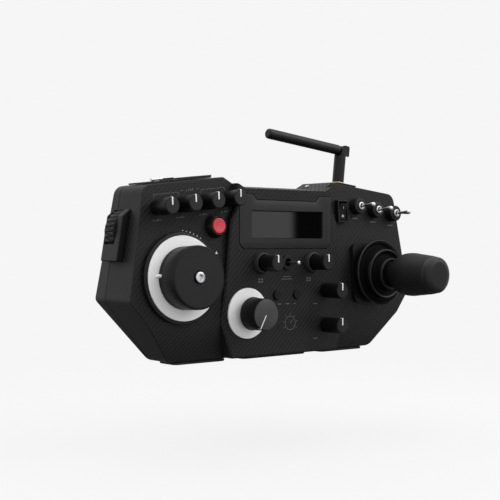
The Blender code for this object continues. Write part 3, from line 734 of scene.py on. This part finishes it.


def make_joystick():
    stick = at_joint("stick_twist", STICK_PIVOT)
    panel = shifted(at_joint_face("stick_twist"), 0, 0, STICK_PIVOT)
    sag = Matrix.Scale(1 / MM, 4) @ panel.inverted() @ stick @ Matrix.Scale(MM, 4)
    refined("joystick_base", BLACK, edge=0.5, segments=3)
    repaint("joystick_yoke", METAL)
    repaint("joystick_shaft", METAL)
    outer = [(26.2, 4.4), (28.6, 7.4), (29.6, 10.4), (30.0, 12.0), (29.5, 12.8), (28.4, 12.2), (25.6, 10.2)]
    outer += [(23.4, 10.6), (22.2, 14.0), (22.1, 18.2), (22.3, 19.4), (21.8, 20.2)]
    inner = [(21.8, 20.2), (20.6, 19.6), (17.6, 17.8), (15.6, 18.6), (14.4, 22.0), (14.1, 25.2)]
    inner += [(14.2, 26.2), (13.7, 26.9), (12.6, 26.3), (10.6, 25.4), (9.8, 26.4), (9.8, 27.7)]
    parts = (
        ("boot_outer", outer, "case", "joystick_yoke", "joystick_boot", 5.0, 19.4),
        ("boot_inner", inner, "joystick_yoke", "joystick_shaft", "joystick_boot_neck", 20.2, 26.6),
    )
    for name, line, first, second, node, low, high in parts:
        mesh = turned_mesh(thick_profile(smooth_line(line, 3), 0.9), closed=True)
        for vertex in mesh.verts:
            share = min(1.0, max(0.0, (vertex.co.z - 12.0) / 8.0))
            vertex.co = vertex.co.lerp(sag @ vertex.co, share)
        boot = finish(name, mesh, panel, BOOT_SHADED, None, [node], angle=60)
        # Faces near each fold's edge get the painted highlight; the rest keep the painted shade.
        boot.data.materials.append(BOOT_HIGHLIGHT)
        for face in boot.data.polygons:
            spot = stick.inverted() @ face.center / MM
            radius = math.hypot(spot.x, spot.y)
            on_highlight = any(abs(radius - lip) < 1.3 and abs(spot.z - z) < 2.2 for lip, z in BOOT_HIGHLIGHT_RINGS)
            face.material_index = 1 if on_highlight else 0
        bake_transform(boot)
    grip = [(0, 64), (4.2, 64), (4.2, 28)]
    waist = [(9.5, 28.0), (11.0, 30.0), (14.5, 35.5), (17.3, 40.0), (18.8, 45.0), (19.3, 50.0)]
    waist += [(19.15, 55.0), (18.5, 60.0), (18.0, 65.0), (17.5, 69.0), (17.1, 73.0)]
    grip += smooth_line(waist, 4)
    grip += [(16.9, 74.0), (16.4, 74.4), (0, 74.4)]
    name = "joystick_handle"
    turned("joystick_grip", stick, grip, GRIP, name, [name])
    cap = [(0, 74.7), (16.4, 74.7), (16.8, 75.0), (16.2, 76.5), (15.95, 79.3)]
    cap += smooth_line([(15.9, 79.5), (15.3, 80.6), (12.5, 81.9), (10.0, 82.4), (0, 82.6)], 3)
    turned("joystick_top", stick, cap, CAP, name, ["joystick_cap"])


# The thumb wheel


def make_side_wheel():
    joint = joints["side_wheel_turn"]
    place = facing(joint["pos_m"], (0, -1, 0)) @ Matrix.Rotation(math.pi, 4, "X")
    half, radius = 6.5, 19.6
    wheel = [(0, -half), (radius - 2.0, -half), (radius - 0.9, -half + 0.5)]
    wheel += [(radius - 0.3, -half + 1.2, 0.6), (radius, -half + 1.8, 1.1), (radius, half - 1.8, 1.1), (radius - 0.3, half - 1.2, 0.6)]
    wheel += [(radius - 0.9, half - 0.5), (radius - 2.0, half), (2, half), (2, 11), (0, 11)]
    name = "side_wheel"
    turned("side_wheel_tyre", place, wheel, KNOB, name, [name], 28 * 12, 28)


# The antenna and the top plates


def make_antenna():
    refined("antenna_base", BLACK, edge=0.25, angle=40)
    refined("antenna_arm", BLACK, edge=0.25, angle=40)
    joint = joints["antenna_swivel"]
    place = shifted(on_top(joint["pos_m"], joint["axis"]), 0, 0, -MAST_LIFT)
    plug = [(0, -9), (3.3, -9), (3.3, 1.9), (5.1, 1.9), (5.4, 2.2, 0.25), (5.4, 3.4, 0.25), (5.1, 3.7)]
    plug += [(3.1, 3.7), (3.1, 11.3), (2.8, 11.6), (0, 11.6)]
    name = "antenna_connector"
    turned("antenna_plug", place, plug, BRASS, "case", [name], 160, 40)


def make_top_details():
    """A small lock pin that lies on the left plate beside its lug."""
    lean = joints["antenna_swivel"]["axis"][0]
    place = on_top((-0.105, -0.007, 0.149652), (-lean, 0, math.sqrt(1 - lean * lean)))
    pin = [(0, 0), (1.3, 0), (1.6, 0.4), (1.6, 2.6), (1.2, 3.0)]
    pin += [(1.2, 8.2), (1.6, 8.6), (1.6, 10.4), (1.3, 10.8), (0, 10.8)]
    start = shifted(place, -22.0, -4.0, 3.2)
    turned("plate_lock_pin", turned_by(start, 90, "Y"), pin, METAL, "case", steps=32)


# Printed marks


def make_speed_marks():
    first, last = at_joint("speed_1_turn"), at_joint("speed_4_turn")
    across = (last.translation - first.translation) / MM
    angle = math.degrees(math.atan2(across.z, across.x))
    place = turned_by(first, angle)
    length = across.length
    pitch = length / 3
    marks = bmesh.new()
    height, tick, width = 10.4, 2.6, 0.4
    for start, end in ((-1.5, pitch), (2 * pitch, length + 1.5)):
        bar(marks, (start, height), (end, height), width)
        bar(marks, (start, height), (start, height - tick), width)
        bar(marks, (end, height), (end, height - tick), width)
    bar(marks, (pitch + 2, height + 1), (pitch + 5, height + 1), width)
    bar(marks, (2 * pitch - 5, height + 1), (2 * pitch - 2, height + 1), width)
    for i in range(4):
        x = 1.5 * pitch - 3 + 2 * i
        bar(marks, (x, height), (x, height + 0.8 + 0.5 * i), 0.9)
    for i in range(4):
        for k, wide in enumerate((1.6, 2.6, 1.2)):
            x = i * pitch - 5.0 + 3.2 * k
            bar(marks, (x, SPEED_LABEL), (x + wide, SPEED_LABEL), 1.0)
    finish("speed_marks", marks, place, GREY_INK, "case")


def make_centre_marks():
    """Generic labels beside the centre block's controls: short bars, squares and a small dial sign."""
    place = facing((0, joints["iris_turn"]["pos_m"][1], 0), (0, -1, 0))
    marks = bmesh.new()
    for x in (-26.3, 29.2):
        for dx in (-2.0, 1.0):
            for dz in (-1.6, 0.6):
                bar(marks, (x - 4 + dx, 68 + dz), (x - 2 + dx, 68 + dz), 1.4)
    for z, half in ((70.2, 4.5), (68.2, 6.2)):
        bar(marks, (-half, z), (half, z), 0.6)
    for x, half in ((-15.5, 0.7), (-8.5, 1.9), (1.0, 1.9), (9.5, 0.7)):
        bar(marks, (x - half, 46.8), (x + half, 46.8), 0.9)
    for z in (57.3, 26.5):
        bar(marks, (31.5, z - 11.6), (36.5, z - 11.6), 0.9)
    finish("centre_marks", marks, place, GREY_INK, "case")
    sign = bmesh.new()
    merge(sign, turned_mesh([(5.6, -INK), (6.1, -INK), (6.1, INK), (5.6, INK)], 64, closed=True))
    for i in range(7):
        angle = math.radians(-30 + 40 * i)
        out = Vector((math.cos(angle), math.sin(angle)))
        bar(sign, out * 7.0, out * 8.6, 0.5)
    bar(sign, (0, 0), (2.6, 2.6), 0.6)
    finish("dial_sign", sign, shifted(place, 4.0, 30.0), GREY_INK, "case")


def make_module_marks():
    """Short label bars under the toggle switches."""
    for number in (1, 2, 3):
        place = shifted(at_joint_face(f"toggle_{number}_flip"), 0, 0, -TOGGLE_PIVOT)
        marks = bmesh.new()
        bar(marks, (-4.0, -11.0), (1.8, -11.0), 1.1)
        bar(marks, (2.4, -11.0), (3.4, -11.0), 1.1)
        finish(f"toggle_label_{number}", marks, place, GREY_INK, "case")


# Studio


def make_studio():
    world = bpy.data.worlds.new("studio")
    bpy.context.scene.world = world
    world.use_nodes = True
    tree = world.node_tree
    direction = add(tree, "ShaderNodeTexCoord").outputs["Generated"]
    height = add(tree, "ShaderNodeSeparateXYZ", {0: direction}).outputs[2]
    share = smooth_step(tree, height, -0.04, -0.5)
    tone = blended_colour(tree, share, [BACKGROUND] * 3, [UNDERSIDE] * 3)
    tree.links.new(tone, tree.nodes["Background"].inputs[0])
    make_floor()
    make_dark_card()
    add_light("key", (0.9, -0.9, 1.1), 1.0, 9.0)
    add_light("top", (-0.1, 0.1, 1.5), 1.4, 8.0)
    bpy.context.scene.view_settings.view_transform = "Standard"


def add_light(name, place, size, power):
    light = bpy.data.lights.new(name, "AREA")
    light.size = size
    light.energy = power
    obj = bpy.data.objects.new(name, light)
    obj.location = place
    aim = Vector((0, 0, 0.08)) - Vector(place)
    obj.rotation_euler = aim.to_track_quat("-Z", "Y").to_euler()
    bpy.context.scene.collection.objects.link(obj)


def make_floor():
    """A pale floor some way below the object, which fades into the background's own brightness."""
    level, reach = -0.076, 30.0
    mesh = bmesh.new()
    bmesh.ops.create_circle(mesh, cap_ends=True, segments=64, radius=reach)
    data = bpy.data.meshes.new("floor")
    mesh.to_mesh(data)
    mesh.free()
    floor = bpy.data.objects.new("floor", data)
    floor.location.z = level
    bpy.context.scene.collection.objects.link(floor)
    look = bpy.data.materials.new("floor")
    look.use_nodes = True
    tree = look.node_tree
    shader = tree.nodes["Principled BSDF"]
    shader.inputs["Base Color"].default_value = (0.8, 0.8, 0.8, 1)
    shader.inputs["Roughness"].default_value = 0.9
    shader.inputs["Specular IOR Level"].default_value = 0.0
    place = add(tree, "ShaderNodeTexCoord").outputs["Object"]
    distance = add(tree, "ShaderNodeVectorMath", {0: place}, operation="LENGTH").outputs[1]
    fade = add(tree, "ShaderNodeMapRange", {0: distance, 1: 0.3, 2: 0.7, 3: 0.84, 4: 1.0}).outputs[0]
    glow = add(tree, "ShaderNodeEmission", {0: (BACKGROUND, BACKGROUND, BACKGROUND, 1)})
    mixed = add(tree, "ShaderNodeMixShader", {0: fade, 1: shader.outputs[0], 2: glow.outputs[0]})
    tree.links.new(mixed.outputs[0], tree.nodes["Material Output"].inputs["Surface"])
    data.materials.append(look)
    floor.visible_diffuse = False
    floor.visible_glossy = False


def make_dark_card():
    """A black card beside the camera that only reflections see, with one soft edge."""
    mesh = bmesh.new()
    bmesh.ops.create_grid(mesh, x_segments=1, y_segments=1, size=1.0)
    data = bpy.data.meshes.new("dark_card")
    mesh.to_mesh(data)
    mesh.free()
    card = bpy.data.objects.new("dark_card", data)
    width, height, away, bearing = 0.6, 0.5, 1.5, math.radians(41.3)
    right = Vector((math.cos(bearing), math.sin(bearing), 0))
    out = Vector((math.sin(bearing), -math.cos(bearing), 0))
    centre = out * away + right * width / 2 + Vector((0, 0, 0.13))
    axes = Matrix((right * width / 2, Vector((0, 0, height / 2)), out)).transposed().to_4x4()
    card.matrix_world = Matrix.Translation(centre) @ axes
    bpy.context.scene.collection.objects.link(card)
    look = bpy.data.materials.new("dark_card")
    look.use_nodes = True
    tree = look.node_tree
    place = add(tree, "ShaderNodeTexCoord").outputs["Object"]
    across = add(tree, "ShaderNodeSeparateXYZ", {0: place}).outputs[0]
    share = smooth_step(tree, across, -1.0, -0.93)
    clear = add(tree, "ShaderNodeBsdfTransparent")
    dark = add(tree, "ShaderNodeEmission", {0: (0.02, 0.02, 0.02, 1)})
    mixed = add(tree, "ShaderNodeMixShader", {0: share, 1: clear.outputs[0], 2: dark.outputs[0]})
    tree.links.new(mixed.outputs[0], tree.nodes["Material Output"].inputs["Surface"])
    data.materials.append(look)
    card.visible_camera = False
    card.visible_diffuse = False
    card.visible_shadow = False


def make_camera():
    camera = bpy.data.cameras.new("camera")
    camera.sensor_width = 36.0
    camera.lens = 76.8
    obj = bpy.data.objects.new("camera", camera)
    obj.location = (-0.6175, -0.7194, 0.101)
    yaw, pitch = math.radians(40), math.radians(-0.48)
    ahead = Vector((math.sin(yaw) * math.cos(pitch), math.cos(yaw) * math.cos(pitch), math.sin(pitch)))
    obj.rotation_euler = ahead.to_track_quat("-Z", "Y").to_euler()
    bpy.context.scene.collection.objects.link(obj)
    bpy.context.scene.camera = obj


make_camera()
make_studio()
make_case()
make_case_screws()
make_screen()
make_small_knobs()
make_focus()
make_focus_marks()
make_iris()
make_buttons()
make_rocker()
make_toggles()
make_menu_lever()
make_joystick()
make_side_wheel()
make_antenna()
make_top_details()
make_speed_marks()
make_centre_marks()
make_module_marks()
